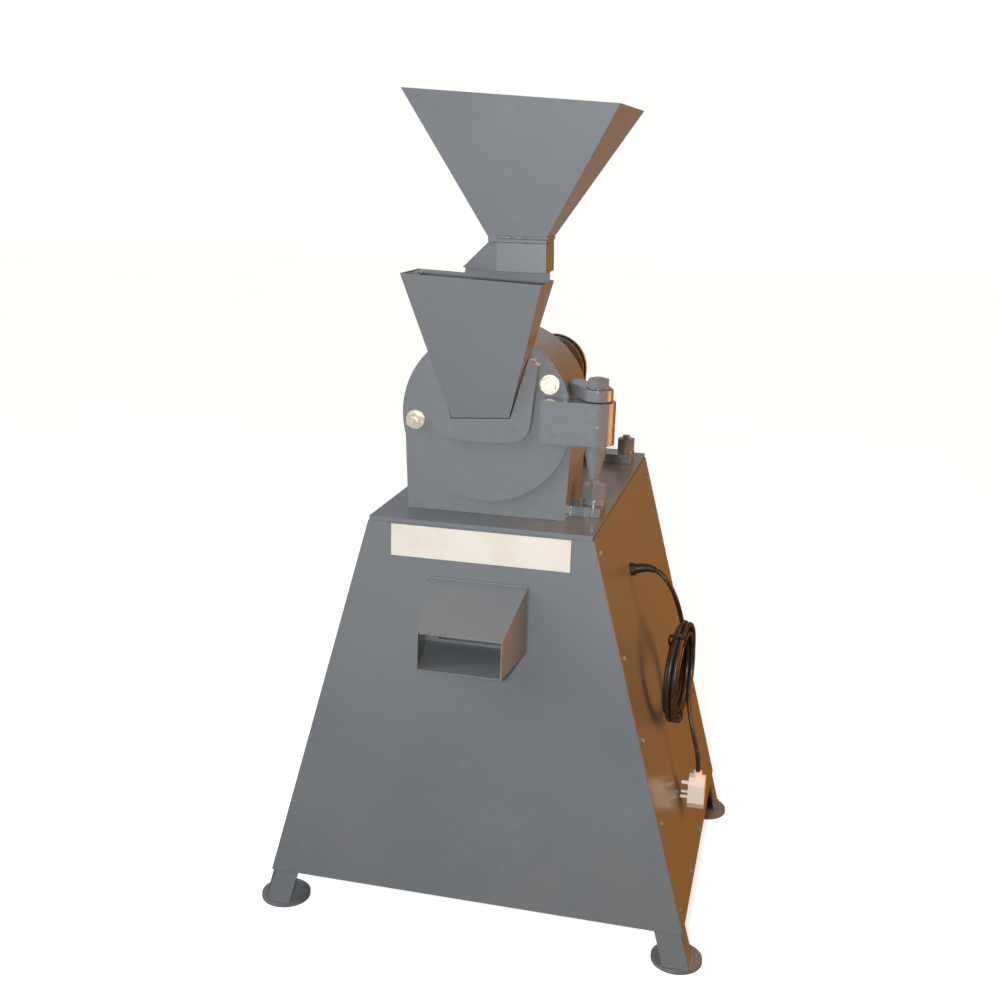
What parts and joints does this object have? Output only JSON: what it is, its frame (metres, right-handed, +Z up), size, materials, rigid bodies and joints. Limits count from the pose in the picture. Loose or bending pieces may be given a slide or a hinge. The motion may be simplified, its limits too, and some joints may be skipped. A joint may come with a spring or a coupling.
{
  "type": "hammer mill",
  "caption": "Laboratory hammer mill: swinging hammers on a belt-driven rotor in a round chamber, hinged door with feed hoppers, on a splayed sheet-steel stand with a discharge spout.",
  "frame": {"origin": "on the floor, at the middle of the machine's overall box without its cable", "axes": "+Z up, -Y the front with the spout and feed tray, +X the machine's right as seen from the front"},
  "size_m": [0.6652, 0.6066, 1.1689],
  "materials": {
    "grey_enamel": "gloss blue-grey enamel on sheet steel",
    "enamelled_casting": "gloss blue-grey enamel on cast iron",
    "label": "blank satin cream plate",
    "plain_steel": "worn oiled steel",
    "bright_steel": "machined steel",
    "yellow_zinc": "yellow passivated zinc plating",
    "belt_rubber": "matt black rubber and fabric",
    "motor_paint": "blue-grey motor paint",
    "black_plastic": "matt black plastic",
    "cord_sheath": "dark flexible sheath",
    "plug_plastic": "off-white plastic"
  },
  "bodies": {
    "stand": {"top_plate": "grey_enamel", "front_panel": "grey_enamel", "rear_panel": "grey_enamel", "left_panel": "grey_enamel", "right_panel": "grey_enamel", "leg_front_left": "grey_enamel", "leg_rear_left": "grey_enamel", "leg_front_right": "grey_enamel", "leg_rear_right": "grey_enamel", "motor_shelf": "grey_enamel", "discharge_duct": "grey_enamel", "discharge_spout": "grey_enamel", "label_plate": "label", "mill_housing": "enamelled_casting", "bearing_housing": "enamelled_casting", "hinge_bracket": "enamelled_casting", "hinge_pin": "enamelled_casting", "screen": "plain_steel", "front_bearing": "bright_steel", "rear_bearing": "bright_steel", "hinge_nut": "bright_steel", "hold_down_bolt_front_left": "bright_steel", "hold_down_bolt_front_right": "bright_steel", "hold_down_bolt_rear_left": "bright_steel", "hold_down_bolt_rear_right": "bright_steel", "drive_belt": "belt_rubber", "motor_casing": "motor_paint", "motor_fan_cover": "motor_paint", "motor_terminal_box": "motor_paint", "cable_gland": "black_plastic", "cord_lead": "cord_sheath", "cord_coil": "cord_sheath", "cord_tail": "cord_sheath", "plug": "plug_plastic"},
    "rotor": {"rotor_shaft": "bright_steel", "rotor_disc_front": "plain_steel", "rotor_disc_rear": "plain_steel", "mill_pulley": "bright_steel", "hammer_pin_1": "bright_steel", "hammer_pin_2": "bright_steel", "hammer_pin_3": "bright_steel", "hammer_pin_4": "bright_steel"},
    "motor_rotor": {"motor_shaft": "bright_steel", "motor_pulley": "plain_steel", "motor_fan": "black_plastic"},
    "door": {"door": "enamelled_casting", "feed_tray": "grey_enamel", "hopper_chute": "grey_enamel", "upper_hopper": "grey_enamel"},
    "closing_bolt_left": {"closing_bolt_left": "yellow_zinc"},
    "closing_bolt_right": {"closing_bolt_right": "yellow_zinc"},
    "hammer_1_front": {"hammer_1_front": "plain_steel"},
    "hammer_1_rear": {"hammer_1_rear": "plain_steel"},
    "hammer_2_front": {"hammer_2_front": "plain_steel"},
    "hammer_2_rear": {"hammer_2_rear": "plain_steel"},
    "hammer_3_front": {"hammer_3_front": "plain_steel"},
    "hammer_3_rear": {"hammer_3_rear": "plain_steel"},
    "hammer_4_front": {"hammer_4_front": "plain_steel"},
    "hammer_4_rear": {"hammer_4_rear": "plain_steel"}
  },
  "joints": [
    {"name": "rotor_spin", "type": "hinge", "parent": "stand", "child": "rotor", "pos_m": [-0.006, 0.04175, 0.758], "axis": [0, 1, 0], "continuous": true},
    {"name": "motor_spin", "type": "hinge", "parent": "stand", "child": "motor_rotor", "pos_m": [-0.006, 0.04175, 0.3383], "axis": [0, 1, 0], "continuous": true},
    {"name": "door_swing", "type": "hinge", "parent": "stand", "child": "door", "pos_m": [0.144, -0.17425, 0.763], "axis": [0, 0, 1], "range_deg": [0, 110]},
    {"name": "closing_bolt_left_turn", "type": "hinge", "parent": "door", "child": "closing_bolt_left", "pos_m": [-0.10346, -0.17325, 0.74776], "axis": [0, -1, 0], "continuous": true},
    {"name": "closing_bolt_right_turn", "type": "hinge", "parent": "door", "child": "closing_bolt_right", "pos_m": [0.07887, -0.17325, 0.807], "axis": [0, -1, 0], "continuous": true},
    {"name": "hammer_1_front_swing", "type": "hinge", "parent": "rotor", "child": "hammer_1_front", "pos_m": [0.02936, -0.10825, 0.79336], "axis": [0, 1, 0], "continuous": true},
    {"name": "hammer_1_rear_swing", "type": "hinge", "parent": "rotor", "child": "hammer_1_rear", "pos_m": [0.02936, -0.10825, 0.79336], "axis": [0, 1, 0], "continuous": true},
    {"name": "hammer_2_front_swing", "type": "hinge", "parent": "rotor", "child": "hammer_2_front", "pos_m": [-0.04136, -0.10825, 0.79336], "axis": [0, 1, 0], "continuous": true},
    {"name": "hammer_2_rear_swing", "type": "hinge", "parent": "rotor", "child": "hammer_2_rear", "pos_m": [-0.04136, -0.10825, 0.79336], "axis": [0, 1, 0], "continuous": true},
    {"name": "hammer_3_front_swing", "type": "hinge", "parent": "rotor", "child": "hammer_3_front", "pos_m": [-0.04136, -0.10825, 0.72264], "axis": [0, 1, 0], "continuous": true},
    {"name": "hammer_3_rear_swing", "type": "hinge", "parent": "rotor", "child": "hammer_3_rear", "pos_m": [-0.04136, -0.10825, 0.72264], "axis": [0, 1, 0], "continuous": true},
    {"name": "hammer_4_front_swing", "type": "hinge", "parent": "rotor", "child": "hammer_4_front", "pos_m": [0.02936, -0.10825, 0.72264], "axis": [0, 1, 0], "continuous": true},
    {"name": "hammer_4_rear_swing", "type": "hinge", "parent": "rotor", "child": "hammer_4_rear", "pos_m": [0.02936, -0.10825, 0.72264], "axis": [0, 1, 0], "continuous": true}
  ],
  "couplings": [
    {"joint": "motor_spin", "follows": "rotor_spin", "ratio": 0.84849}
  ]
}
